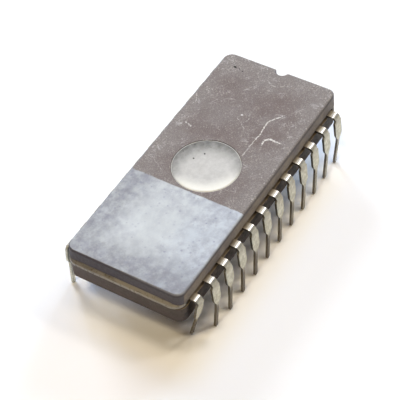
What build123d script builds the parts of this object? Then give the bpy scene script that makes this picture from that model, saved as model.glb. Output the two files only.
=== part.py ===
from build123d import *
import math
import os

# Windowed ceramic dual in-line memory chip, 24 leads, 15.24 mm between the rows.
# +X runs along the body away from the index notch, +Y points to the row of leads 13 to 24,
# +Z is up. The origin is on the surface the lead tips stand on, under the middle of the body.

# Standard lead pattern
LEADS = 24
PITCH = 2.54
ROW_SPACING = 15.24

# Ceramic body: what it adds past the last lead, and what it leaves bare between itself and a row
END_MARGIN = 1.93
SIDE_GAP = 0.90
BODY_CORNER = 1.05
BODY_DRAFT = 2.0
BASE_BOTTOM = 4.58
BASE_T = 2.12
GLASS_T = 0.63
CAP_T = 1.50
EDGE_BREAK = 0.18

# Index notch
NOTCH_R = 0.62
NOTCH_MOUTH = 0.14

# Cavity for the die
CAVITY_X = 7.6
CAVITY_WALL = 3.12
CAVITY_CORNER = 0.5
CAVITY_DEPTH = 0.62
SHELF = 0.85
CAP_RELIEF = 0.35

# Window and the ring of solder glass that holds it
WINDOW_R = 3.54
WINDOW_RING = 0.12
WINDOW_T = 0.90
WINDOW_LEDGE = 0.34
WINDOW_SEAT = 0.06
WINDOW_EDGE = 0.05

# Seal glass: drawn in along the rows of leads, swelled out round the ends
GROOVE = 0.30
BEAD_SIDE_GAP = 0.04
BEAD_OUT = 0.26
BEAD_UP = 0.27
BEAD_DOWN = 0.08
BEAD_CHAMFER = 0.32
BEAD_CORNER = 1.30
BEAD_REACH = 1.15
NOTCH_LINING = 0.06

# Stamped and formed leads
LEAD_RISE = 0.25
LEAD_T = 0.25
LEAD_BEND_R = 0.25
NECK_W = 0.90
LEAF_W = 1.27
BLADE_W = 0.44
SHOULDER_TOP = 6.68
SHOULDER_END = 6.46
LEAF_END = 4.95
TAPER_END = 3.65
KNEE_Z = 4.35
KNEE_R = 1.5
TIP_NARROW = 0.09
TIP_LENGTH = 0.14

# How far the leads lean out, in degrees: above the knee, and below it in either row
SPLAY = 4.5
RETURN_FRONT = -2.4
RETURN_BACK = 0.0

# Leads knocked out of line, by number: degrees more above the knee, below it, and along the body
KNOCKED = {
    12: (0.0, 6.0, -4.5),
    13: (-14.0, -14.6, -7.0),
    14: (0.0, -2.6, 0.0),
    23: (0.0, -1.6, 0.0),
    24: (0.0, -2.9, 0.0),
}

# Inner fingers of the lead frame: each turns once under the cap edge and once before the cavity
FINGER_W = 0.56
FINGER_HIDE = 0.12
ROOT_IN = 0.75
END_FINGERS = 3
TURN_DEPTH = 0.20
TURN_SPACING = 0.35
APPROACH = 0.90
APPROACH_SPACING = 1.50

# Die and bonding
DIE_X = 4.2
DIE_Y = 3.8
DIE_T = 0.38
ATTACH_T = 0.05
ATTACH_MARGIN = 0.15
WIRE_D = 0.032
PAD_INSET = 0.18
BOND_ON_FINGER = 0.35
LOOP_RISE = 0.20
LOOP_FIRST = 0.18
LOOP_SECOND = 0.65
WIRE_SIDES = 5

# Sizes and levels that follow
HALF = LEADS // 2
BODY_L = (HALF - 1) * PITCH + 2 * END_MARGIN
BODY_W = ROW_SPACING - 2 * SIDE_GAP
CAVITY_Y = BODY_W - 2 * CAVITY_WALL
SEAM = BASE_BOTTOM + BASE_T
CAP_BOTTOM = SEAM + GLASS_T
CAP_TOP = CAP_BOTTOM + CAP_T
LEAD_UNDER = SEAM + LEAD_RISE
LEAD_TOP = LEAD_UNDER + LEAD_T
LEAD_MID = (LEAD_UNDER + LEAD_TOP) / 2
CAVITY_FLOOR = SEAM - CAVITY_DEPTH
RELIEF_X = CAVITY_X + 2 * SHELF
RELIEF_Y = CAVITY_Y + 2 * SHELF
DIE_TOP = CAVITY_FLOOR + ATTACH_T + DIE_T
FROM_BELOW = (Align.CENTER, Align.CENTER, Align.MIN)


def body_outline(inset=0.0):
    """Plan of the ceramic at the seam, with the index notch, drawn in by inset."""
    plan = RectangleRounded(BODY_L - 2 * inset, BODY_W - 2 * inset, BODY_CORNER - inset)
    plan -= Pos(-BODY_L / 2 + inset) * Circle(NOTCH_R + inset * 0.5)
    mouth = [v for v in plan.vertices() if abs(v.Y) < 2 * NOTCH_R]
    return chamfer(mouth, NOTCH_MOUTH)


def pressed_slab(seam, height):
    """Ceramic slab between the seam and its outer face, its sides drafted in towards that face."""
    slab = Pos(0, 0, seam) * extrude(body_outline(), height)
    walls = [f for f in slab.faces() if abs(f.center().Z - seam - height / 2) < abs(height) / 4]
    slab = draft(walls, Plane.XY.offset(seam), math.copysign(BODY_DRAFT, height))
    outer_face = slab.faces().sort_by(Axis.Z)[-1 if height > 0 else 0]
    return chamfer(outer_face.outer_wire().edges(), EDGE_BREAK)


def opening(size_x, size_y, bottom, top):
    """Block that cuts a rounded rectangular opening between two levels."""
    return Pos(0, 0, bottom) * extrude(RectangleRounded(size_x, size_y, CAVITY_CORNER), top - bottom)


def lead_place(number):
    """Position along the body and side of the body of a lead, by its number."""
    row = -1 if number <= HALF else 1
    step = number - 1 if row < 0 else LEADS - number
    return (step - (HALF - 1) / 2) * PITCH, row, step


def finger_route(number):
    """Way of a lead's inner finger from the edge of the body to the edge of the cavity."""
    x, row, step = lead_place(number)
    half_x = CAVITY_X / 2 + FINGER_HIDE
    half_y = CAVITY_Y / 2 + FINGER_HIDE
    from_end = min(step, HALF - 1 - step)
    side = -1 if step < HALF / 2 else 1
    edge = BODY_W / 2 - ROOT_IN
    if from_end < END_FINGERS:
        outer = END_FINGERS - from_end
        tip_y = (from_end + 0.5) * half_y / END_FINGERS
        tip = (side * half_x, row * tip_y)
        knee_out = (x, row * (edge - TURN_SPACING * outer))
        knee_in = (side * (half_x + APPROACH + APPROACH_SPACING * (outer - 1)), row * tip_y)
    else:
        tip_x = half_x - (from_end - END_FINGERS + 0.5) * half_x / (HALF / 2 - END_FINGERS)
        tip = (side * tip_x, row * half_y)
        knee_out = (x, row * (edge - TURN_DEPTH))
        knee_in = (side * tip_x, row * (half_y + APPROACH))
    return (x, row * edge), knee_out, knee_in, tip


# Ceramic base: pressed slab with draft, rounded lower edge and a recess for the die
ceramic_base = pressed_slab(SEAM, -BASE_T)
ceramic_base -= opening(CAVITY_X, CAVITY_Y, CAVITY_FLOOR, SEAM)

# Ceramic cap: drafted slab with the stepped window hole and a relief over the bond wires
ceramic_cap = pressed_slab(CAP_BOTTOM, CAP_T)
seat_level = CAP_TOP - WINDOW_T - WINDOW_SEAT
hole_r = WINDOW_R + WINDOW_RING
through_r = hole_r - WINDOW_LEDGE
ceramic_cap -= Pos(0, 0, seat_level) * Cylinder(hole_r, CAP_T, align=FROM_BELOW)
ceramic_cap -= Pos(0, 0, CAP_BOTTOM) * Cylinder(through_r, CAP_T, align=FROM_BELOW)
ceramic_cap -= opening(RELIEF_X, RELIEF_Y, CAP_BOTTOM, CAP_BOTTOM + CAP_RELIEF)

# Window: polished disc, its upper arris broken, flush with the cap
uv_window = Pos(0, 0, CAP_TOP - WINDOW_T) * Cylinder(WINDOW_R, WINDOW_T, align=FROM_BELOW)
uv_window = chamfer(uv_window.faces().sort_by(Axis.Z)[-1].edges(), WINDOW_EDGE)

# Window seal: ring of solder glass round the disc and under its rim, a little low at the top
seal_h = CAP_TOP - WINDOW_EDGE - seat_level
window_seal = Pos(0, 0, seat_level) * Cylinder(hole_r, seal_h, align=FROM_BELOW)
window_seal -= Pos(0, 0, seat_level) * Cylinder(through_r, seal_h, align=FROM_BELOW)
window_seal -= uv_window


def lead_front(x, lean, tip_z):
    """Front outline of a lead: neck, shoulder, wide leaf, curved taper, narrow blade and cut tip."""
    drift = math.tan(math.radians(lean)) * (TAPER_END - tip_z)
    neck, leaf, blade = NECK_W / 2, LEAF_W / 2, BLADE_W / 2
    sides = []
    for s in (1, -1):
        middle = (x + s * (leaf + blade) / 2, (LEAF_END + TAPER_END) / 2)
        foot = Vector(x + drift + s * blade, tip_z + TIP_LENGTH)
        sides.append([
            Line((x + s * neck, CAP_BOTTOM), (x + s * neck, SHOULDER_TOP)),
            Line((x + s * neck, SHOULDER_TOP), (x + s * leaf, SHOULDER_END)),
            Line((x + s * leaf, SHOULDER_END), (x + s * leaf, LEAF_END)),
            TangentArc((x + s * leaf, LEAF_END), middle, tangent=(0, -1)),
            TangentArc((x + s * blade, TAPER_END), middle, tangent=(0, 1)),
            Line((x + s * blade, TAPER_END), foot),
            Line(foot, (foot.X - s * TIP_NARROW, tip_z)),
        ])
    top = Line(sides[0][0] @ 0, sides[1][0] @ 0)
    bottom = Line(sides[0][-1] @ 1, sides[1][-1] @ 1)
    return make_face(Curve() + sides[0] + sides[1] + [top, bottom])


def lead_side(row, knocked_upper, knocked_lower):
    """Side section of a lead: flat in the glass, turned down, leaning to the knee and then back."""
    back = RETURN_FRONT if row > 0 else RETURN_BACK
    upper = (LEAD_MID - KNEE_Z) / math.cos(math.radians(SPLAY))
    lower = KNEE_Z / math.cos(math.radians(back))
    start = Vector(row * (BODY_W / 2 - ROOT_IN), LEAD_MID)
    bend = Vector(row * ROW_SPACING / 2, LEAD_MID)
    knee = bend + Vector(0, -upper).rotate(Axis.Z, row * (SPLAY + knocked_upper))
    tip = knee + Vector(0, -lower).rotate(Axis.Z, row * (back + knocked_lower))
    overrun = (tip - knee).normalized() * LEAD_T
    radii = [LEAD_BEND_R + LEAD_T / 2, KNEE_R]
    line = FilletPolyline(start, bend, knee, tip + overrun, radius=radii)
    return trace(line, LEAD_T), tip.Y


def make_lead(number):
    """One stamped and formed lead with its inner finger."""
    x, row, _ = lead_place(number)
    above, below, along = KNOCKED.get(number, (0.0, 0.0, 0.0))
    section, tip_z = lead_side(row, above, below)
    strip = extrude(Plane.YZ * section, BODY_L, both=True)
    front = extrude(Plane.XZ * lead_front(x, along, tip_z), ROW_SPACING, both=True)
    edge, knee_out, knee_in, tip = finger_route(number)
    finger = trace(Polyline(edge, knee_out, knee_in, tip), FINGER_W)
    root = Pos(*edge) * Rectangle(NECK_W, NECK_W)
    plate = Pos(0, 0, LEAD_UNDER) * extrude(finger + root, LEAD_T)
    return (strip & front) + plate


# Leads 1 to 24
leads = {f"lead_{n:02d}": make_lead(n) for n in range(1, LEADS + 1)}

# Seal glass: a groove along the rows of leads, a swelling bead across the ends
web = Pos(0, 0, SEAM) * extrude(body_outline(GROOVE), GLASS_T)
bead_plan = RectangleRounded(BODY_L + 2 * BEAD_OUT, BODY_W - 2 * BEAD_SIDE_GAP, BEAD_CORNER)
bead_plan -= Pos(-BODY_L / 2) * Circle(NOTCH_R - NOTCH_LINING)
bead_plan -= Pos(-BODY_L / 2 - BEAD_OUT) * Rectangle(2 * BEAD_OUT, 2 * (NOTCH_R - NOTCH_LINING))
bead = Pos(0, 0, SEAM - BEAD_DOWN) * extrude(bead_plan, GLASS_T + BEAD_UP + BEAD_DOWN)
outer_rims = [
    e for e in bead.edges().filter_by(Plane.XY)
    if not (e.center().X < 0 and abs(e.center().Y) < NOTCH_R)
]
bead = chamfer(outer_rims, BEAD_CHAMFER)
bead -= Box(BODY_L - 2 * BEAD_REACH, 2 * BODY_W, 4 * CAP_TOP)
bead = bead - ceramic_base - ceramic_cap
seal_glass = web + bead
seal_glass -= opening(CAVITY_X, CAVITY_Y, SEAM, CAP_BOTTOM)
seal_glass -= opening(RELIEF_X, RELIEF_Y, LEAD_TOP, CAP_BOTTOM)
seal_glass -= list(leads.values())

# Die on its layer of silver-filled glass
attach_x = DIE_X + 2 * ATTACH_MARGIN
attach_y = DIE_Y + 2 * ATTACH_MARGIN
die_attach = Pos(0, 0, CAVITY_FLOOR) * Box(attach_x, attach_y, ATTACH_T, align=FROM_BELOW)
silicon_die = Pos(0, 0, CAVITY_FLOOR + ATTACH_T) * Box(DIE_X, DIE_Y, DIE_T, align=FROM_BELOW)


def make_wire(number):
    """Bond wire from a pad near the edge of the die up over the shelf to the lead's finger."""
    tip = Vector(*finger_route(number)[3])
    before = Vector(*finger_route(number)[2])
    bond = tip + (before - tip).normalized() * BOND_ON_FINGER
    pad_x = DIE_X / 2 - PAD_INSET
    pad_y = DIE_Y / 2 - PAD_INSET
    reach = min(pad_x / abs(tip.X), pad_y / abs(tip.Y))
    start = Vector(tip.X * reach, tip.Y * reach, DIE_TOP + WIRE_D / 2)
    end = Vector(bond.X, bond.Y, LEAD_TOP + WIRE_D / 2)
    route = [start]
    for share, rise in ((LOOP_FIRST, LOOP_RISE / 2), (LOOP_SECOND, LOOP_RISE)):
        over = start + (end - start) * share
        route.append(Vector(over.X, over.Y, end.Z + rise))
    path = Polyline(*route, end)
    profile = Plane(origin=start, z_dir=path % 0) * RegularPolygon(WIRE_D / 2, WIRE_SIDES)
    return sweep(profile, path=path, transition=Transition.RIGHT)


# Bond wires 1 to 24
wires = {f"bond_wire_{n:02d}": make_wire(n) for n in range(1, LEADS + 1)}

nodes = {
    "ceramic_base": ceramic_base,
    "ceramic_cap": ceramic_cap,
    "seal_glass": seal_glass,
    "uv_window": uv_window,
    "window_seal": window_seal,
    "die_attach": die_attach,
    "silicon_die": silicon_die,
}
nodes.update(leads)
nodes.update(wires)

os.makedirs("parts", exist_ok=True)
for name, shape in nodes.items():
    export_step(shape, f"parts/{name}.step")
    print(name, round(shape.volume, 4), "mm3,", len(shape.solids()), "solid")
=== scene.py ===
import bpy
import bmesh
import math
from mathutils import Matrix, Vector


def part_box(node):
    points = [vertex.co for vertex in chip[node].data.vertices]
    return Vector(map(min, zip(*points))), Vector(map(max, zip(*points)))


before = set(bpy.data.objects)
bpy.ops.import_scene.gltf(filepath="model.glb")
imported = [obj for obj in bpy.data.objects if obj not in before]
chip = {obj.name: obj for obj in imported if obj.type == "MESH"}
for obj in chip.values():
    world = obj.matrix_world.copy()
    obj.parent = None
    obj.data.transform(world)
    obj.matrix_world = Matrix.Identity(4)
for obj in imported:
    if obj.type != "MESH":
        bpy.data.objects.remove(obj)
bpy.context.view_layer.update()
bpy.context.scene.view_settings.view_transform = "Standard"

# Camera: a short telephoto view from the near end and the side of leads 13 to 24, close above the chip.
# Its place and turn were fitted to the leads, the window and the corners of the cap.
CAMERA_AT = Vector((0.08662, 0.05896, 0.12087))
LOOKS_ALONG = Vector((-0.5477, -0.3799, -0.7454)).normalized()
UP_IN_FRAME = Vector((-0.658, -0.3547, 0.6642))
LENS = 135.65
SENSOR = 36.0
SEES_FROM = 0.01
SEES_TO = 20.0
camera_right = LOOKS_ALONG.cross(UP_IN_FRAME).normalized()
camera_up = camera_right.cross(LOOKS_ALONG)
camera = bpy.data.objects.new("camera", bpy.data.cameras.new("camera"))
camera.data.lens = LENS
camera.data.sensor_width = SENSOR
camera.data.clip_start = SEES_FROM
camera.data.clip_end = SEES_TO
camera_turn = Matrix((camera_right, camera_up, -LOOKS_ALONG)).transposed()
camera.matrix_world = Matrix.Translation(CAMERA_AT) @ camera_turn.to_4x4()
bpy.context.scene.collection.objects.link(camera)
bpy.context.scene.camera = camera

# Rounded faces: the curved parts of the slabs, the window, the glass and the leads come in facets.
# A modifier joins the facets and shades them round, and keeps every real edge sharp.
# The bond wires are left as they are.
ROUND_UNDER = math.radians(28)
JOINED_WITHIN = 0.000001
round_shading = bpy.data.node_groups.new("round_shading", "GeometryNodeTree")
round_shading.interface.new_socket("Geometry", in_out="INPUT", socket_type="NodeSocketGeometry")
round_shading.interface.new_socket("Geometry", in_out="OUTPUT", socket_type="NodeSocketGeometry")
whole_piece = round_shading.nodes.new("NodeGroupInput")
joined = round_shading.nodes.new("GeometryNodeMergeByDistance")
joined.inputs["Distance"].default_value = JOINED_WITHIN
smooth_faces = round_shading.nodes.new("GeometryNodeSetShadeSmooth")
edge_angle = round_shading.nodes.new("GeometryNodeInputMeshEdgeAngle")
real_edges = round_shading.nodes.new("FunctionNodeCompare")
real_edges.inputs["B"].default_value = ROUND_UNDER
sharp_edges = round_shading.nodes.new("GeometryNodeSetShadeSmooth")
sharp_edges.domain = "EDGE"
sharp_edges.inputs["Shade Smooth"].default_value = False
shaded_piece = round_shading.nodes.new("NodeGroupOutput")
steps = (whole_piece, joined, smooth_faces, sharp_edges, shaded_piece)
for before, after in zip(steps, steps[1:]):
    round_shading.links.new(before.outputs[0], after.inputs[0])
round_shading.links.new(edge_angle.outputs["Unsigned Angle"], real_edges.inputs["A"])
round_shading.links.new(real_edges.outputs[0], sharp_edges.inputs["Selection"])
for node in chip:
    if not node.startswith("bond_wire"):
        chip[node].modifiers.new("round_shading", "NODES").node_group = round_shading


# Studio: a white tabletop under warm lamps at the near end, overhead and on the side of leads 13 to 24,
# with cool windows towards the notch end and leads 1 to 12. The lamps stand about a metre away. Their
# places and strengths were fitted to the shading of the chip and the shadows on the floor.
def place_node(tree, kind, values=None, **settings):
    """New node in a tree, its settings made and its sockets given values or fed by other sockets."""
    made = tree.nodes.new(kind)
    for name, value in settings.items():
        setattr(made, name, value)
    for name, value in (values or {}).items():
        if isinstance(value, bpy.types.NodeSocket):
            tree.links.new(value, made.inputs[name])
        else:
            made.inputs[name].default_value = value
    return made


def work_out(tree, operation, first, second=0.0, third=0.0, clamp=False):
    """Result of one sum on numbers or sockets."""
    values = {0: first, 1: second, 2: third}
    return place_node(tree, "ShaderNodeMath", values, operation=operation, use_clamp=clamp).outputs[0]


def blend(tree, amount, first, second):
    """Mix of two colours by a mask."""
    values = {0: amount, 6: first, 7: second}
    return place_node(tree, "ShaderNodeMix", values, data_type="RGBA").outputs[2]


def seen_directly(tree):
    """1 for the camera, for reflections and for what shows through glass, 0 for the light that falls on things."""
    light_path = place_node(tree, "ShaderNodeLightPath").outputs
    seen = work_out(tree, "MAXIMUM", light_path["Is Camera Ray"], light_path["Is Glossy Ray"])
    return work_out(tree, "MAXIMUM", seen, light_path["Is Transmission Ray"])


def new_material(name):
    """New material with its node tree and its shader."""
    material = bpy.data.materials.new(name)
    material.use_nodes = True
    return material, material.node_tree, material.node_tree.nodes["Principled BSDF"]


ROOM_LIGHT = (0.010, 0.011, 0.014, 1.0)
CEILING = (0.16, 0.16, 0.17, 1.0)
BACKDROP = (1.0, 1.0, 1.0, 1.0)
BACKDROP_UP_TO = 0.20
CEILING_FROM = 0.50
room = bpy.data.worlds.new("white_backdrop_and_dark_ceiling")
room.use_nodes = True
tree = room.node_tree
direction = place_node(tree, "ShaderNodeTexCoord").outputs["Generated"]
height = place_node(tree, "ShaderNodeSeparateXYZ", {0: direction}).outputs[2]
levels = {"Value": height, "From Min": BACKDROP_UP_TO, "From Max": CEILING_FROM}
overhead = place_node(tree, "ShaderNodeMapRange", levels).outputs[0]
walls_and_ceiling = blend(tree, overhead, BACKDROP, CEILING)
shown = blend(tree, seen_directly(tree), ROOM_LIGHT, walls_and_ceiling)
tree.links.new(shown, tree.nodes["Background"].inputs["Color"])
bpy.context.scene.world = room

# Each lamp: its place, width, power and tint, and whether it gives light, a glint in reflections, or both
LAMPS = (
    ("near_lamp", (0.376, 0.041, 0.926), 0.16, 2.90, (1.0, 0.83, 0.54), "both"),
    ("near_side_lamp", (0.500, 0.194, 0.844), 0.17, 0.80, (1.0, 0.70, 0.38), "both"),
    ("overhead_lamp", (0.008, -0.045, 0.999), 0.16, 1.80, (1.0, 0.87, 0.70), "both"),
    ("second_overhead_lamp", (-0.068, 0.167, 0.984), 0.16, 1.05, (1.0, 0.84, 0.60), "light"),
    ("lead_side_lamp", (-0.360, 0.390, 0.848), 0.13, 1.30, (1.0, 0.91, 0.80), "light"),
    ("lead_side_window", (-0.300, 0.790, 0.535), 0.34, 1.10, (1.0, 0.92, 0.80), "light"),
    ("cool_window", (-0.316, -0.270, 0.909), 0.40, 1.60, (0.08, 0.38, 1.0), "light"),
    ("window_glint", (-0.550, 0.000, 0.835), 0.36, 2.00, (1.0, 0.98, 0.93), "glint"),
    ("far_row_window", (-0.410, -0.740, 0.533), 0.46, 6.30, (0.79, 0.87, 1.0), "light"),
    ("notch_end_window", (-0.870, 0.020, 0.492), 0.48, 6.00, (0.55, 0.74, 1.0), "light"),
)
for lamp_name, lamp_at, width, power, tint, gives in LAMPS:
    lamp = bpy.data.objects.new(lamp_name, bpy.data.lights.new(lamp_name, "AREA"))
    lamp.data.shape = "DISK"
    lamp.data.size = width
    lamp.data.energy = power
    lamp.data.color = tint
    lamp.location = lamp_at
    lamp.rotation_euler = (-Vector(lamp_at)).to_track_quat("-Z", "Y").to_euler()
    lamp.visible_glossy = gives != "light"
    lamp.visible_diffuse = gives != "glint"
    bpy.context.scene.collection.objects.link(lamp)

TABLE_REACH = 4.0
TABLE_PAINT = (0.95, 0.95, 0.95, 1.0)
table_mesh = bmesh.new()
bmesh.ops.create_grid(table_mesh, x_segments=1, y_segments=1, size=TABLE_REACH)
tabletop = bpy.data.objects.new("tabletop", bpy.data.meshes.new("tabletop"))
table_mesh.to_mesh(tabletop.data)
table_mesh.free()
bpy.context.scene.collection.objects.link(tabletop)
white_table, tree, shader = new_material("white_table")
shader.inputs["Base Color"].default_value = TABLE_PAINT
shader.inputs["Roughness"].default_value = 1.0
shader.inputs["Specular IOR Level"].default_value = 0.0
tabletop.data.materials.append(white_table)

# Ceramic base: the lower slab, pressed from brown alumina powder and fired, with the die cavity in its top.
# It is dull and finely grained, paler towards leads 1 to 12, with blotchy painted shade on the walls behind the
# leads, and a little of the seal glass has run over its upper edge.
MM = 1000.0
POINT, NUMBER, COLOUR = "NodeSocketVector", "NodeSocketFloat", "NodeSocketColor"


def in_millimetres(tree):
    """The surface's place on the chip, in millimetres, and its three parts."""
    place = place_node(tree, "ShaderNodeTexCoord").outputs["Object"]
    scaled = place_node(tree, "ShaderNodeVectorMath", {0: place, "Scale": MM}, operation="SCALE").outputs[0]
    parts = place_node(tree, "ShaderNodeSeparateXYZ", {0: scaled}).outputs
    return scaled, parts[0], parts[1], parts[2]


def times(tree, first, second, clamp=False):
    """Product of two numbers or sockets."""
    return work_out(tree, "MULTIPLY", first, second, clamp=clamp)


def either_way(tree, value):
    """Size of a value on either side of nought."""
    return work_out(tree, "ABSOLUTE", value)


def ramp(tree, value, low, high, at_low=0.0, at_high=1.0):
    """Smooth step of a value between two levels, from one strength to another."""
    values = {"Value": value, "From Min": low, "From Max": high, "To Min": at_low, "To Max": at_high}
    return place_node(tree, "ShaderNodeMapRange", values, interpolation_type="SMOOTHSTEP").outputs[0]


def noise(tree, place, size, detail=2.0, roughness=0.5):
    """Noise from 0 to 1 with features of a size in millimetres."""
    values = {"Vector": place, "Scale": 1.0 / size, "Detail": detail, "Roughness": roughness}
    return place_node(tree, "ShaderNodeTexNoise", values).outputs["Fac"]


def blotches(tree, place, grain, step):
    """Mask of blotches: noise of a size, detail and roughness, then its step as the ramp takes it."""
    return ramp(tree, noise(tree, place, *grain), *step)


def new_group(name, takes, gives):
    """Empty shader node group with named sockets, what it is given and what it puts out."""
    group = bpy.data.node_groups.new(name, "ShaderNodeTree")
    for side, sockets in (("INPUT", takes), ("OUTPUT", gives)):
        for socket_name, kind in sockets.items():
            group.interface.new_socket(socket_name, in_out=side, socket_type=kind)
    given = group.nodes.new("NodeGroupInput").outputs
    return group, given, group.nodes.new("NodeGroupOutput").inputs


def use_group(tree, group, values):
    """What one placed copy of a group puts out, with values of its own."""
    return place_node(tree, "ShaderNodeGroup", values, node_tree=group).outputs


def roughen(tree, shader, height, strength, depth):
    """Fine relief of a surface, its depth in millimetres."""
    values = {"Height": height, "Strength": strength, "Distance": depth / MM}
    tree.links.new(place_node(tree, "ShaderNodeBump", values).outputs[0], shader.inputs["Normal"])


def dress(node, material):
    """Give a piece its finish."""
    chip[node].data.materials.clear()
    chip[node].data.materials.append(material)


# Specks: small grains or dust of uneven sizes, one in some of the cells of a random pattern
SMALLEST_SPECK = 0.35
SPECK_EDGE = 2.5
specks, given, result = new_group(
    "specks", {"Place": POINT, "Spacing": NUMBER, "Radius": NUMBER, "Share": NUMBER}, {"Mask": NUMBER})
density = work_out(specks, "DIVIDE", 1.0, given["Spacing"])
cells = place_node(specks, "ShaderNodeTexVoronoi", {"Vector": given["Place"], "Scale": density}).outputs
cell_chance = place_node(specks, "ShaderNodeSeparateColor", {0: cells["Color"]}).outputs
chosen = work_out(specks, "LESS_THAN", cell_chance[0], given["Share"])
reach = times(specks, given["Radius"], ramp(specks, cell_chance[1], 0.0, 1.0, SMALLEST_SPECK, 1.0))
inside = work_out(specks, "SUBTRACT", 1.0, work_out(specks, "DIVIDE", cells["Distance"], reach))
round_speck = times(specks, inside, SPECK_EDGE, clamp=True)
specks.links.new(times(specks, round_speck, chosen), result["Mask"])

# Fired surface: the clouded brown, the dullness and the fine grain that both slabs have from their pressing
CLOUDS = (2.2, 4.0, 0.6)
DULL_BLOTCHES = ((0.25, 2.0), (0.2, 0.8, 0.50, 0.72))
FIRED_GRAIN = (0.12, 3.0, 0.6)
fired_surface, given, result = new_group(
    "fired_surface", {"Place": POINT, "Dark": COLOUR, "Light": COLOUR},
    {"Colour": COLOUR, "Roughness": NUMBER, "Grain": NUMBER})
clouded = blend(fired_surface, noise(fired_surface, given["Place"], *CLOUDS), given["Dark"], given["Light"])
fired_surface.links.new(clouded, result["Colour"])
fired_surface.links.new(blotches(fired_surface, given["Place"], *DULL_BLOTCHES), result["Roughness"])
fired_surface.links.new(noise(fired_surface, given["Place"], *FIRED_GRAIN), result["Grain"])

# The base's brown, with pale grains in it
BASE_BROWN = {"Dark": (0.050, 0.038, 0.033, 1.0), "Light": (0.110, 0.086, 0.074, 1.0)}
PALE_GRAINS = {"Spacing": 0.34, "Radius": 0.30, "Share": 0.5}
PALE_GRAINS_SHOW = 0.22
PALE_GRAIN = (0.30, 0.27, 0.25, 1.0)
fired_brown, tree, shader = new_material("fired_brown_ceramic")
place, x, y, z = in_millimetres(tree)
surface = use_group(tree, fired_surface, {"Place": place, **BASE_BROWN})
pale_grains = use_group(tree, specks, {"Place": place, **PALE_GRAINS})["Mask"]
colour = blend(tree, times(tree, pale_grains, PALE_GRAINS_SHOW), surface["Colour"], PALE_GRAIN)

# Paler towards leads 1 to 12, and blotchy painted shade on the long walls behind the leads, more of it towards the
# near end
PALER_ACROSS = (1.0, -6.5, 0.0, 0.5)
BASE_PALER_TONE = (0.125, 0.098, 0.090, 1.0)
BASE_LONG_WALL = (6.35, 6.50)
BASE_WALL_SHADE_ALONG = (-14.0, 0.0, 0.40, 0.85)
BASE_WALL_SHADE_BLOTCHES = ((0.9, 4.0, 0.65), (0.40, 0.62))
BASE_WALL_PAINTED_SHADE = ((0.020, 0.015, 0.014, 1.0), (0.074, 0.056, 0.046, 1.0))
colour = blend(tree, ramp(tree, y, *PALER_ACROSS), colour, BASE_PALER_TONE)
shaded_base_walls = times(tree, ramp(tree, either_way(tree, y), *BASE_LONG_WALL), ramp(tree, x, *BASE_WALL_SHADE_ALONG))
colour = blend(tree, shaded_base_walls, colour, blend(tree, blotches(tree, place, *BASE_WALL_SHADE_BLOTCHES), *BASE_WALL_PAINTED_SHADE))

# Seal glass that has run over the upper edge
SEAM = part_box("ceramic_base")[1].z * MM
UPPER_EDGE = (SEAM - 0.035, SEAM - 0.012)
SMEAR_BLOTCHES = ((1.6, 3.0), (0.30, 0.55, 0.25, 1.0))
GLASS_SMEAR = (0.27, 0.215, 0.145, 1.0)
smeared = times(tree, ramp(tree, z, *UPPER_EDGE), blotches(tree, place, *SMEAR_BLOTCHES))
colour = blend(tree, smeared, colour, GLASS_SMEAR)

BASE_SHINE = 0.20
CERAMIC_ROUGHENED = 0.35
CERAMIC_DEPTH = 0.03


def finish_ceramic(tree, shader, surface, colour, shine):
    """Feed a slab's shader with its colour and shine and with its fired surface."""
    tree.links.new(colour, shader.inputs["Base Color"])
    tree.links.new(surface["Roughness"], shader.inputs["Roughness"])
    shader.inputs["Specular IOR Level"].default_value = shine
    roughen(tree, shader, surface["Grain"], CERAMIC_ROUGHENED, CERAMIC_DEPTH)


finish_ceramic(tree, shader, surface, colour, BASE_SHINE)
dress("ceramic_base", fired_brown)

# Ceramic cap: the upper slab, of the same pressed ceramic, with the stepped window hole and the index notch.
# Its walls are stained and carry painted shade, and its top is worn pale, most of all near its edges, with dust,
# hairline scuffs and a few real scratches; its broken edge is painted dark with shade at the near end. It is fused
# to the base by the seal glass.
CAP_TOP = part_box("ceramic_cap")[1].z * MM
CAP_BROWN = {"Dark": (0.076, 0.066, 0.072, 1.0), "Light": (0.144, 0.124, 0.127, 1.0)}
worn_brown, tree, shader = new_material("worn_brown_ceramic")
place, x, y, z = in_millimetres(tree)
off_centre_line = either_way(tree, y)
surface = use_group(tree, fired_surface, {"Place": place, **CAP_BROWN})
pale_grains = use_group(tree, specks, {"Place": place, **PALE_GRAINS})["Mask"]
walls = blend(tree, times(tree, pale_grains, PALE_GRAINS_SHOW), surface["Colour"], PALE_GRAIN)

# Walls: painted shade towards leads 13 to 24, stained along the leads, with a painted line of shade under the
# top's edge
SHADE_ACROSS = (-4.0, 4.0, 0.0, 0.45)
WALL_SHADE = (0.048, 0.040, 0.042, 1.0)
CAP_LONG_WALL = (6.60, 6.66)
STAIN_BLOTCHES = ((1.8, 4.0, 0.6), (0.35, 0.65, 0.4, 1.0))
WALL_STAIN = (0.212, 0.172, 0.128, 1.0)
SHADE_LINE_HEIGHT = CAP_TOP - 0.22
SHADE_LINE_FADE = (0.20, 0.08, 0.0, 0.65)
PAINTED_SHADE_LINE = (0.036, 0.031, 0.034, 1.0)
walls = blend(tree, ramp(tree, y, *SHADE_ACROSS), walls, WALL_SHADE)
stained = times(tree, ramp(tree, off_centre_line, *CAP_LONG_WALL), blotches(tree, place, *STAIN_BLOTCHES))
walls = blend(tree, stained, walls, WALL_STAIN)
off_shade_line = either_way(tree, work_out(tree, "SUBTRACT", z, SHADE_LINE_HEIGHT))
walls = blend(tree, ramp(tree, off_shade_line, *SHADE_LINE_FADE), walls, PAINTED_SHADE_LINE)


def more_where(tree, value, mask, by):
    """A value, raised by so much where a mask is 1."""
    return work_out(tree, "ADD", value, times(tree, mask, by))


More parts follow.
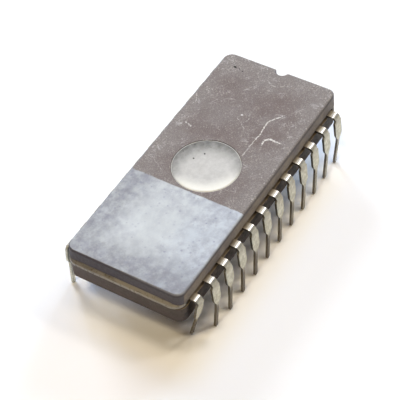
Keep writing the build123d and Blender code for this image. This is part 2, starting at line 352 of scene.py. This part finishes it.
# Top: a hazy brown with fine grit in it, paler towards the long edges and the notch end
LONG_EDGES = (3.6, 6.6)
NOTCH_END_EDGE = (-11.0, -15.5)
HAZE = (4.0, 5.0, 0.62)
HAZE_AT_EDGES = 0.20
HAZE_STEP = (0.34, 0.72)
TOP_BROWN = ((0.166, 0.133, 0.125, 1.0), (0.218, 0.194, 0.184, 1.0))
GRIT = (0.11, 2.0, 0.6)
PALE_GRIT_STEP = (0.50, 0.72, 0.0, 0.34)
PALE_GRIT = (0.50, 0.47, 0.43, 1.0)
DARK_GRIT_STEP = (0.46, 0.28, 0.0, 0.34)
DARK_GRIT = (0.09, 0.073, 0.067, 1.0)
edges = work_out(tree, "MAXIMUM", ramp(tree, off_centre_line, *LONG_EDGES), ramp(tree, x, *NOTCH_END_EDGE))
haze = more_where(tree, noise(tree, place, *HAZE), edges, HAZE_AT_EDGES)
top = blend(tree, ramp(tree, haze, *HAZE_STEP), *TOP_BROWN)
grit = noise(tree, place, *GRIT)
top = blend(tree, ramp(tree, grit, *PALE_GRIT_STEP), top, PALE_GRIT)
top = blend(tree, ramp(tree, grit, *DARK_GRIT_STEP), top, DARK_GRIT)

# Dust in the rubbed places and along the edges
RUBBED = (1.9, 5.0, 0.7)
RUBBED_AT_EDGES = 0.06
RUBBED_STEP = (0.54, 0.64)
DUST_WHERE_RUBBED = 0.45
DUST_AT_EDGES = 0.12
DUST_BLOTCHES = ((0.20, 4.0, 0.75), (0.50, 0.64))
TOP_DUST = (0.60, 0.57, 0.52, 1.0)
rubbed = ramp(tree, more_where(tree, noise(tree, place, *RUBBED), edges, RUBBED_AT_EDGES), *RUBBED_STEP)
dust_share = more_where(tree, times(tree, rubbed, DUST_WHERE_RUBBED), edges, DUST_AT_EDGES)
top = blend(tree, times(tree, blotches(tree, place, *DUST_BLOTCHES), dust_share), top, TOP_DUST)

# Pale grains laid bare by wear, more of them along the edges, and dark ones
BARE_GRAINS_SHOW = 0.25
BARE_GRAINS_AT_EDGES = 0.30
BARE_GRAIN = (0.56, 0.54, 0.51, 1.0)
DARK_GRAINS = {"Spacing": 0.27, "Radius": 0.30, "Share": 0.4}
DARK_GRAINS_SHOW = 0.22
DARK_GRAIN = (0.09, 0.08, 0.08, 1.0)
bare_share = more_where(tree, BARE_GRAINS_SHOW, edges, BARE_GRAINS_AT_EDGES)
top = blend(tree, times(tree, pale_grains, bare_share), top, BARE_GRAIN)
dark_grains = use_group(tree, specks, {"Place": place, **DARK_GRAINS})["Mask"]
top = blend(tree, times(tree, dark_grains, DARK_GRAINS_SHOW), top, DARK_GRAIN)


def strongest(tree, masks):
    """The highest of several masks, point by point."""
    highest = masks[0]
    for mask in masks[1:]:
        highest = work_out(tree, "MAXIMUM", highest, mask)
    return highest


# Scuffs: hairlines that run about one way and break off, drawn along the middle of a stretched noise
NOISE_MIDDLE = 0.5
SCUFF_WAVES = (1.0, 1.0)
SCUFF_BREAKS = (1.25, 2.0)
SCUFF_BREAK_EDGE = 9.0
scuffs, given, result = new_group(
    "scuffs",
    {"Place": POINT, "Turn": NUMBER, "Length": NUMBER, "Spacing": NUMBER, "Fineness": NUMBER, "Share": NUMBER},
    {"Mask": NUMBER})
turned = place_node(
    scuffs, "ShaderNodeVectorRotate", {"Vector": given["Place"], "Angle": given["Turn"]}, rotation_type="Z_AXIS")
along, across, _ = place_node(scuffs, "ShaderNodeSeparateXYZ", {0: turned.outputs[0]}).outputs
stretched_along = work_out(scuffs, "DIVIDE", along, given["Length"])
stretched_across = work_out(scuffs, "DIVIDE", across, given["Spacing"])
stretched = place_node(scuffs, "ShaderNodeCombineXYZ", {0: stretched_along, 1: stretched_across}).outputs[0]
off_line = work_out(scuffs, "SUBTRACT", noise(scuffs, stretched, *SCUFF_WAVES), NOISE_MIDDLE)
off_line = work_out(scuffs, "DIVIDE", either_way(scuffs, off_line), given["Fineness"])
hairline = work_out(scuffs, "SUBTRACT", 1.0, off_line, clamp=True)
unbroken = work_out(scuffs, "SUBTRACT", given["Share"], noise(scuffs, given["Place"], *SCUFF_BREAKS))
unbroken = times(scuffs, unbroken, SCUFF_BREAK_EDGE, clamp=True)
scuffs.links.new(times(scuffs, hairline, unbroken), result["Mask"])

SCUFF_RUNS = (
    {"Turn": 0.58, "Length": 9.0, "Spacing": 0.8, "Fineness": 0.012, "Share": 0.50},
    {"Turn": -0.80, "Length": 7.0, "Spacing": 0.7, "Fineness": 0.012, "Share": 0.46},
    {"Turn": 1.36, "Length": 5.0, "Spacing": 0.9, "Fineness": 0.014, "Share": 0.46},
    {"Turn": 2.32, "Length": 6.0, "Spacing": 0.6, "Fineness": 0.012, "Share": 0.44},
)
SCUFFS_SHOW = 0.42
SCUFF = (0.62, 0.60, 0.58, 1.0)
scuff_lines = [use_group(tree, scuffs, {"Place": place, **one_way})["Mask"] for one_way in SCUFF_RUNS]
top = blend(tree, times(tree, strongest(tree, scuff_lines), SCUFFS_SHOW), top, SCUFF)


def vector_sum(tree, operation, first, second):
    """One sum on two points or sockets."""
    return place_node(tree, "ShaderNodeVectorMath", {0: first, 1: second}, operation=operation).outputs


# Stroke: one straight run of a scratch between two points on the top
stroke, given, result = new_group(
    "stroke", {"Place": POINT, "Start": POINT, "End": POINT, "Width": NUMBER}, {"Mask": NUMBER})
offset = vector_sum(stroke, "SUBTRACT", given["Place"], given["Start"])[0]
run = vector_sum(stroke, "SUBTRACT", given["End"], given["Start"])[0]
reached = vector_sum(stroke, "DOT_PRODUCT", offset, run)["Value"]
run_squared = vector_sum(stroke, "DOT_PRODUCT", run, run)["Value"]
share = work_out(stroke, "DIVIDE", reached, run_squared, clamp=True)
nearest = place_node(stroke, "ShaderNodeVectorMath", {0: run, "Scale": share}, operation="SCALE").outputs[0]
away = vector_sum(stroke, "DISTANCE", offset, nearest)["Value"]
close = work_out(stroke, "SUBTRACT", 1.0, work_out(stroke, "DIVIDE", away, given["Width"]), clamp=True)
stroke.links.new(close, result["Mask"])


def mark_on_top(tree, place, points, width):
    """Mask of a scratch or a dot through a few points of the cap's top."""
    runs = []
    for start, end in zip(points, points[1:]):
        values = {"Place": place, "Start": (*start, CAP_TOP), "End": (*end, CAP_TOP), "Width": width}
        runs.append(use_group(tree, stroke, values)["Mask"])
    return strongest(tree, runs)


# Scratches: each runs through its points, wandering a little, with its width and how strongly it shows
SCRATCHES = (
    (((-2.95, 2.55), (-5.32, 2.52)), 0.085, 0.75),
    (((-5.32, 2.52), (-6.58, 2.66), (-7.62, 2.48), (-8.45, 2.46), (-8.95, 2.80), (-9.99, 3.54)), 0.085, 1.5),
    (((-5.22, 3.50), (-5.85, 3.42), (-6.30, 3.85), (-6.25, 5.02)), 0.14, 1.5),
    (((-7.42, -0.65), (-6.38, 0.80)), 0.05, 0.6),
    (((-7.09, 0.27), (-7.89, 0.53)), 0.05, 0.5),
    (((-4.36, -5.16), (-4.12, -4.33)), 0.12, 0.9),
    (((-8.60, -6.30), (-7.60, -5.80), (-7.00, -5.95)), 0.06, 0.8),
    (((-13.87, -0.69), (-13.30, 0.10), (-13.40, 0.75)), 0.07, 0.6),
    (((2.60, -3.80), (1.30, -5.90)), 0.05, 0.5),
)
WANDER_WAVES = {"Scale": 2.6, "Detail": 2.0}
WANDER_MIDDLE = (0.5, 0.5, 0.5)
WANDER_REACH = (0.32, 0.32, 0.0)
CRUMBLED_BLOTCHES = ((0.16, 2.0), (0.36, 0.56))
SCRATCH = (0.70, 0.68, 0.64, 1.0)
wander = place_node(tree, "ShaderNodeTexNoise", {"Vector": place, **WANDER_WAVES}).outputs["Color"]
wander = vector_sum(tree, "SUBTRACT", wander, WANDER_MIDDLE)[0]
wandering = place_node(
    tree, "ShaderNodeVectorMath", {0: wander, 1: WANDER_REACH, 2: place}, operation="MULTIPLY_ADD").outputs[0]
scratches = [
    times(tree, mark_on_top(tree, wandering, points, width), strength) for points, width, strength in SCRATCHES]
crumbled = blotches(tree, place, *CRUMBLED_BLOTCHES)
top = blend(tree, times(tree, strongest(tree, scratches), crumbled, clamp=True), top, SCRATCH)

# A white speck, and three dots of soot near the notch
WHITE_SPECK = ((-8.00, -0.47), (-8.02, -0.42))
WHITE_SPECK_WIDTH = 0.14
SPECK_WHITE = (0.90, 0.90, 0.90, 1.0)
SOOT_DOTS = (
    (((-14.02, -4.82), (-13.96, -4.68)), 0.17),
    (((-13.94, -4.22), (-13.93, -4.18)), 0.09),
    (((-13.77, -3.73), (-13.75, -3.69)), 0.09),
)
SOOT_THICKNESS = 1.8
SOOT = (0.02, 0.018, 0.017, 1.0)
top = blend(tree, mark_on_top(tree, place, WHITE_SPECK, WHITE_SPECK_WIDTH), top, SPECK_WHITE)
for points, width in SOOT_DOTS:
    dot = times(tree, mark_on_top(tree, place, points, width), SOOT_THICKNESS, clamp=True)
    top = blend(tree, dot, top, SOOT)


# Printed patch: a thin coat of pale blue-grey ink over the near end of the cap's top, on the same ceramic.
# It is bare, bluer towards leads 13 to 24, stained and dotted away from its middle, rubbed in places,
# and grimy at the near end and along leads 1 to 12.
def sway(tree, place, grain, reach):
    """Noise on either side of nought, up to half its reach each way."""
    return times(tree, work_out(tree, "SUBTRACT", noise(tree, place, *grain), NOISE_MIDDLE), reach)


PATCH_FROM = 3.85
PATCH_BORDER = (PATCH_FROM - 0.07, PATCH_FROM + 0.07)
BORDER_SWAY = ((0.8, 3.0), 0.24)
INK_BLOTCHES = ((5.5, 2.0), (0.35, 0.65))
INK = ((0.550, 0.580, 0.588, 1.0), (0.620, 0.655, 0.662, 1.0))
BLUE_SWAY = ((4.5, 2.0), 6.0)
BLUE_ACROSS = (-1.0, 6.0, 0.0, 0.75)
BLUER_INK = (0.500, 0.550, 0.605, 1.0)
patch = ramp(tree, work_out(tree, "ADD", x, sway(tree, place, *BORDER_SWAY)), *PATCH_BORDER)
ink = blend(tree, blotches(tree, place, *INK_BLOTCHES), *INK)
bluer_side = ramp(tree, work_out(tree, "ADD", y, sway(tree, place, *BLUE_SWAY)), *BLUE_ACROSS)
ink = blend(tree, bluer_side, ink, BLUER_INK)

# Stains and dots, more of them away from the patch's middle
PATCH_MIDDLE = (9.8, -0.4, CAP_TOP)
OUTER_SWAY = ((3.0, 3.0), 9.0)
OUTER_STEP = (1.0, 7.0)
INK_STAIN_BLOTCHES = ((1.0, 5.0, 0.60), (0.32, 0.68))
STAINS_SHOW = (0.25, 0.85)
INK_STAIN = (0.345, 0.360, 0.410, 1.0)
INK_DOTS = {"Spacing": 0.46, "Radius": 0.34, "Share": 0.42}
DOTS_SHOW = (0.22, 0.48)
INK_DOT = (0.22, 0.22, 0.33, 1.0)
off_middle = vector_sum(tree, "DISTANCE", place, PATCH_MIDDLE)["Value"]
outer = ramp(tree, work_out(tree, "ADD", off_middle, sway(tree, place, *OUTER_SWAY)), *OUTER_STEP)
stains = blotches(tree, place, *INK_STAIN_BLOTCHES)
ink = blend(tree, times(tree, stains, ramp(tree, outer, 0.0, 1.0, *STAINS_SHOW)), ink, INK_STAIN)
ink_dots = use_group(tree, specks, {"Place": place, **INK_DOTS})["Mask"]
ink = blend(tree, times(tree, ink_dots, ramp(tree, outer, 0.0, 1.0, *DOTS_SHOW)), ink, INK_DOT)

# Rubbed ink, and grime where the chip was handled
RUBBED_INK_BLOTCHES = ((0.22, 3.0, 0.6), (0.52, 0.70, 0.0, 0.26))
RUBBED_INK = (0.66, 0.66, 0.63, 1.0)
ALONG_LEADS_1_TO_12 = (-1.5, -6.2)
AT_NEAR_END = (10.5, 15.0)
INK_GRIME_BLOTCHES = ((0.9, 5.0, 0.68), (0.30, 0.68, 0.42, 1.0))
INK_GRIME_SHOWS = 0.80
INK_GRIME = (0.210, 0.212, 0.236, 1.0)
CORNER_ALONG = (10.5, 14.0, 0.0, 0.18)
CORNER_ACROSS = (0.5, 4.5)
CORNER_GRIME = (0.210, 0.215, 0.240, 1.0)
ink = blend(tree, blotches(tree, place, *RUBBED_INK_BLOTCHES), ink, RUBBED_INK)
handled = work_out(tree, "MAXIMUM", ramp(tree, y, *ALONG_LEADS_1_TO_12), ramp(tree, x, *AT_NEAR_END))
grime = times(tree, handled, blotches(tree, place, *INK_GRIME_BLOTCHES))
ink = blend(tree, times(tree, grime, INK_GRIME_SHOWS), ink, INK_GRIME)
dull_corner = times(tree, ramp(tree, x, *CORNER_ALONG), ramp(tree, y, *CORNER_ACROSS))
ink = blend(tree, dull_corner, ink, CORNER_GRIME)
top = blend(tree, patch, top, ink)

# The top's finish reaches over its broken edge, which is painted dark with shade at the near end
TOP_AND_EDGE = (CAP_TOP - 0.19, CAP_TOP - 0.02)
EDGE_ALONE = (CAP_TOP - 0.01, CAP_TOP - 0.06)
NEAR_END_ALONG = (14.9, 15.7, 0.0, 0.9)
NEAR_END_ACROSS = (5.5, -2.0, 0.35, 1.0)
EDGE_PAINTED_SHADE = (0.050, 0.043, 0.054, 1.0)
CAP_SHINE = 0.40
colour = blend(tree, ramp(tree, z, *TOP_AND_EDGE), walls, top)
near_end = times(tree, ramp(tree, x, *NEAR_END_ALONG), ramp(tree, y, *NEAR_END_ACROSS))
colour = blend(tree, times(tree, ramp(tree, z, *EDGE_ALONE), near_end), colour, EDGE_PAINTED_SHADE)
finish_ceramic(tree, shader, surface, colour, CAP_SHINE)
dress("ceramic_cap", worn_brown)

# Window: a round disc of milky sintered alumina that lets ultraviolet through, polished flush with the cap.
# It is grey and mottled, with painted shade and dirt specks towards the far rim and a painted cream glow at the
# near rim, where light leaves it, and two dark flecks.
WINDOW_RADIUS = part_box("uv_window")[1].x * MM
milky, tree, shader = new_material("milky_window")
place, x, y, z = in_millimetres(tree)
seen_from_above = place_node(tree, "ShaderNodeCombineXYZ", {0: x, 1: y}).outputs[0]
from_middle = vector_sum(tree, "DISTANCE", seen_from_above, (0.0, 0.0, 0.0))["Value"]

# Milky grey, with painted shade that darkens and clouds it away from a painted bright spot
MILKY_BLOTCHES = ((0.8, 5.0, 0.7), (0.35, 0.65))
MILKY = ((0.500, 0.490, 0.463, 1.0), (0.578, 0.568, 0.538, 1.0))
PAINTED_BRIGHT_SPOT = (0.9, 0.7, 0.0)
CLOUDING = (0.6, 5.0, 0.65)
CLOUDING_REACH = (2.2, 4.6, 0.3, 2.4)
FAR_RIM_STEP = (2.0, 4.9)
FAR_RIM_PAINTED_SHADE = (0.150, 0.148, 0.138, 1.0)
from_painted_bright_spot = vector_sum(tree, "DISTANCE", seen_from_above, PAINTED_BRIGHT_SPOT)["Value"]
milk = blend(tree, blotches(tree, place, *MILKY_BLOTCHES), *MILKY)
clouding = sway(tree, place, CLOUDING, ramp(tree, from_painted_bright_spot, *CLOUDING_REACH))
far_rim_shade = ramp(tree, work_out(tree, "ADD", from_painted_bright_spot, clouding), *FAR_RIM_STEP)
milk = blend(tree, far_rim_shade, milk, FAR_RIM_PAINTED_SHADE)

# Painted cream glow at the near rim, dirt specks at the far rim and the flecks
NEAR_RIM = (1.7, 3.35)
NEAR_RIM_LEAN = 0.6
NEAR_RIM_TOWARDS = (0.5, 3.4)
NEAR_RIM_SHOWS = 0.8
NEAR_RIM_PAINTED_GLOW = (0.90, 0.885, 0.800, 1.0)
RIM_SPECKS = {"Spacing": 0.42, "Radius": 0.36, "Share": 0.5}
RIM_SPECKS_SHOW = (3.1, 4.4, 0.0, 0.6)
RIM_SPECK = (0.06, 0.062, 0.055, 1.0)
FLECKS = (((-0.29, -1.70), (-0.27, -1.66)), ((-1.38, -1.02), (-1.34, -0.98)))
FLECK_WIDTH = 0.12
FLECK_THICKNESS = 1.5
FLECK = (0.03, 0.03, 0.03, 1.0)
towards_near = ramp(tree, work_out(tree, "ADD", x, times(tree, y, NEAR_RIM_LEAN)), *NEAR_RIM_TOWARDS)
near_rim_glow = times(tree, ramp(tree, from_middle, *NEAR_RIM), towards_near)
milk = blend(tree, times(tree, near_rim_glow, NEAR_RIM_SHOWS), milk, NEAR_RIM_PAINTED_GLOW)
rim_specks = use_group(tree, specks, {"Place": place, **RIM_SPECKS})["Mask"]
milk = blend(tree, times(tree, rim_specks, ramp(tree, from_painted_bright_spot, *RIM_SPECKS_SHOW)), milk, RIM_SPECK)
for points in FLECKS:
    fleck = times(tree, mark_on_top(tree, place, points, FLECK_WIDTH), FLECK_THICKNESS, clamp=True)
    milk = blend(tree, fleck, milk, FLECK)

WINDOW_SHINE = 0.4
WINDOW_DULLNESS = ((0.5, 3.0), (0.3, 0.7, 0.34, 0.50))
tree.links.new(milk, shader.inputs["Base Color"])
tree.links.new(blotches(tree, place, *WINDOW_DULLNESS), shader.inputs["Roughness"])
shader.inputs["Specular IOR Level"].default_value = WINDOW_SHINE
dress("uv_window", milky)

# Window seal: the ring of clear solder glass that was fused round the disc to hold it in the cap's hole.
# It is pale where light catches it, with a dark line where it meets the ceramic.
RING_TONES = (0.9, 3.0)
RING_GLASS = ((0.36, 0.35, 0.32, 1.0), (0.66, 0.65, 0.61, 1.0))
MEETS_CERAMIC = (WINDOW_RADIUS + 0.05, WINDOW_RADIUS + 0.09)
MEETING_LINE = (0.06, 0.055, 0.05, 1.0)
RING_DULLNESS = ((0.3, 2.0), (0.3, 0.7, 0.15, 0.30))
ring_glass, tree, shader = new_material("ring_glass")
place, x, y, z = in_millimetres(tree)
seen_from_above = place_node(tree, "ShaderNodeCombineXYZ", {0: x, 1: y}).outputs[0]
from_middle = vector_sum(tree, "DISTANCE", seen_from_above, (0.0, 0.0, 0.0))["Value"]
tone = blend(tree, noise(tree, place, *RING_TONES), *RING_GLASS)
tone = blend(tree, ramp(tree, from_middle, *MEETS_CERAMIC), tone, MEETING_LINE)
tree.links.new(tone, shader.inputs["Base Color"])
tree.links.new(blotches(tree, place, *RING_DULLNESS), shader.inputs["Roughness"])
dress("window_seal", ring_glass)

# Seal glass: tan solder glass that was fused between the slabs and round the leads, and swelled out at the
# ends. A khaki stripe, a painted highlight, and fine dark flow lines run along the ends, and the grooves behind
# the leads are painted dark with shade.
TAN_BLOTCHES = ((1.3, 4.0, 0.6), (0.3, 0.7))
TAN_GLASS = ((0.115, 0.098, 0.078, 1.0), (0.185, 0.165, 0.135, 1.0))
STRIPE_HEIGHT = (-4.0, -1.0, SEAM + 0.30, SEAM + 0.58)
STRIPE_FADE = (0.56, 0.16)
STRIPE_ACROSS = (-5.0, 1.0)
STRIPE_SHOWS = (0.35, 0.95)
KHAKI_PAINTED_HIGHLIGHT = (0.262, 0.232, 0.176, 1.0)
FLOW_LINE_STRETCH = 0.12
FLOW_LINE_BLOTCHES = ((0.22, 2.0), (0.52, 0.64, 0.0, 0.6))
FLOW_LINE = (0.070, 0.056, 0.042, 1.0)
GROOVE_ENDS = (15.2, 14.8)
GROOVE_SHADE_SHOWS = 0.85
GROOVE_PAINTED_SHADE = (0.030, 0.024, 0.018, 1.0)
SEAL_DULLNESS = ((0.4, 2.0), (0.3, 0.7, 0.25, 0.45))
SEAL_RIPPLES = (0.5, 3.0)
SEAL_ROUGHENED = 0.4
SEAL_DEPTH = 0.05
fused, tree, shader = new_material("fused_seal_glass")
place, x, y, z = in_millimetres(tree)
tone = blend(tree, blotches(tree, place, *TAN_BLOTCHES), *TAN_GLASS)
# The khaki stripe is a painted highlight where the bead's upper face catches light
off_stripe = either_way(tree, work_out(tree, "SUBTRACT", z, ramp(tree, y, *STRIPE_HEIGHT)))
stripe_shows = ramp(tree, ramp(tree, y, *STRIPE_ACROSS), 0.0, 1.0, *STRIPE_SHOWS)
tone = blend(tree, times(tree, ramp(tree, off_stripe, *STRIPE_FADE), stripe_shows), tone, KHAKI_PAINTED_HIGHLIGHT)
flow_parts = {0: x, 1: times(tree, y, FLOW_LINE_STRETCH), 2: z}
flow_place = place_node(tree, "ShaderNodeCombineXYZ", flow_parts).outputs[0]
tone = blend(tree, blotches(tree, flow_place, *FLOW_LINE_BLOTCHES), tone, FLOW_LINE)
# Painted shade in the grooves behind the leads, everywhere but at the ends
in_groove = ramp(tree, either_way(tree, x), *GROOVE_ENDS)
tone = blend(tree, times(tree, in_groove, GROOVE_SHADE_SHOWS), tone, GROOVE_PAINTED_SHADE)
tree.links.new(tone, shader.inputs["Base Color"])
tree.links.new(blotches(tree, place, *SEAL_DULLNESS), shader.inputs["Roughness"])
roughen(tree, shader, noise(tree, place, *SEAL_RIPPLES), SEAL_ROUGHENED, SEAL_DEPTH)
dress("seal_glass", fused)

# Leads: stamped from nickel-iron strip, sealed in the glass, bent down and dipped in solder, now dull and
# stained. The bends are burnished, with a painted highlight where they face up, and the leaves mottled cream.
# The blades of leads 13 to 24 carry painted shade, less towards the notch end, and their sheared edges are
# painted dark, partly with oxide and partly with shade.
tinned, tree, shader = new_material("tinned_lead")
place, x, y, z = in_millimetres(tree)
facing = place_node(tree, "ShaderNodeTexCoord").outputs["Normal"]
facing = place_node(tree, "ShaderNodeSeparateXYZ", {0: facing}).outputs

# Leaves, shoulders, and painted shade on the blades of leads 13 to 24
CREAM_MOTTLE = ((0.40, 4.0, 0.62), (0.36, 0.66))
CREAM_METAL = ((0.44, 0.415, 0.32, 1.0), (0.62, 0.60, 0.49, 1.0))
SHOULDER_HEIGHT = (5.9, 6.6, 0.0, 0.55)
SHOULDER_TARNISH = (0.30, 0.27, 0.21, 1.0)
ROW_OF_13_TO_24 = (-1.0, 1.0)
BLADE_SHADE_ALONG = (-13.0, 2.0, 0.45, 1.0)
BLADE_HEIGHT = (4.5, 3.0, 0.0, 0.9)
BLADE_PAINTED_SHADE = (0.084, 0.065, 0.054, 1.0)
metal = blend(tree, blotches(tree, place, *CREAM_MOTTLE), *CREAM_METAL)
metal = blend(tree, ramp(tree, z, *SHOULDER_HEIGHT), metal, SHOULDER_TARNISH)
in_row = ramp(tree, y, *ROW_OF_13_TO_24)
shaded_row = times(tree, in_row, ramp(tree, x, *BLADE_SHADE_ALONG))
shaded_blade = times(tree, ramp(tree, z, *BLADE_HEIGHT), shaded_row)
metal = blend(tree, shaded_blade, metal, BLADE_PAINTED_SHADE)

# Bends, with a painted highlight where they face up, duller next to the body, and the sheared edges, which face
# along the body, painted dark partly with oxide and partly with shade
BEND_HEIGHT = (6.62, 6.95)
BEND_FACES_UP = (0.70, 0.94)
BEND_PAINTED_HIGHLIGHT = (0.80, 0.77, 0.70, 1.0)
NEXT_TO_BODY = (7.20, 6.95)
BEND_AT_BODY = (0.38, 0.32, 0.24, 1.0)
SHEARED_FACES = (0.6, 0.9, 0.0, 0.85)
SHEARED_LEAF = (0.075, 0.062, 0.048, 1.0)
SHEARED_BLADE = (0.170, 0.145, 0.110, 1.0)
burnished_and_highlit = times(tree, ramp(tree, z, *BEND_HEIGHT), ramp(tree, facing[2], *BEND_FACES_UP))
bend_highlight = blend(tree, ramp(tree, either_way(tree, y), *NEXT_TO_BODY), BEND_PAINTED_HIGHLIGHT, BEND_AT_BODY)
metal = blend(tree, burnished_and_highlit, metal, bend_highlight)
sheared = times(tree, ramp(tree, either_way(tree, facing[0]), *SHEARED_FACES), in_row)
metal = blend(tree, sheared, metal, blend(tree, shaded_blade, SHEARED_LEAF, SHEARED_BLADE))

# Dull solder with a slight ripple, smoother on the burnished bends
SOLDER_METALLIC = 0.85
SOLDER_DULLNESS = ((0.3, 3.0), (0.3, 0.7, 0.34, 0.55))
BURNISHED_ROUGHNESS = 0.28
SOLDER_RIPPLES = (0.2, 3.0)
SOLDER_ROUGHENED = (6.3, 6.8, 0.30, 0.03)
SOLDER_DEPTH = 0.03
dull = blotches(tree, place, *SOLDER_DULLNESS)
smoother_by = work_out(tree, "SUBTRACT", BURNISHED_ROUGHNESS, dull)
tree.links.new(metal, shader.inputs["Base Color"])
tree.links.new(work_out(tree, "MULTIPLY_ADD", smoother_by, burnished_and_highlit, dull), shader.inputs["Roughness"])
shader.inputs["Metallic"].default_value = SOLDER_METALLIC
roughen(tree, shader, noise(tree, place, *SOLDER_RIPPLES), ramp(tree, z, *SOLDER_ROUGHENED), SOLDER_DEPTH)
for node in chip:
    if node.startswith("lead_"):
        dress(node, tinned)

# Inside the cavity: the silicon die on a layer of silver-filled glass, joined to the leads' fingers by
# aluminium bond wires. The milky window hides them, so their finishes are the usual ones.
# Each finish: its pieces, its darker and lighter colour, how metallic it is, and its roughness
BOND_WIRES = tuple(f"bond_wire_{number:02d}" for number in range(1, 25))
INNER_FINISHES = (
    ("silicon", ("silicon_die",), (0.10, 0.11, 0.15, 1.0), (0.20, 0.20, 0.27, 1.0), 0.6, 0.20),
    ("silver_glass", ("die_attach",), (0.40, 0.39, 0.36, 1.0), (0.60, 0.58, 0.54, 1.0), 0.5, 0.55),
    ("aluminium_wire", BOND_WIRES, (0.70, 0.70, 0.72, 1.0), (0.85, 0.85, 0.86, 1.0), 1.0, 0.30),
)
INNER_TONES = (0.4, 3.0)
INNER_DULLNESS = (0.2, 2.0)
ROUGHNESS_SPREAD = 0.08
for name, nodes, dark, light, metallic, roughness in INNER_FINISHES:
    finish, tree, shader = new_material(name)
    place, x, y, z = in_millimetres(tree)
    tree.links.new(blend(tree, noise(tree, place, *INNER_TONES), dark, light), shader.inputs["Base Color"])
    step = (0.3, 0.7, roughness - ROUGHNESS_SPREAD, roughness + ROUGHNESS_SPREAD)
    tree.links.new(blotches(tree, place, INNER_DULLNESS, step), shader.inputs["Roughness"])
    shader.inputs["Metallic"].default_value = metallic
    for node in nodes:
        dress(node, finish)
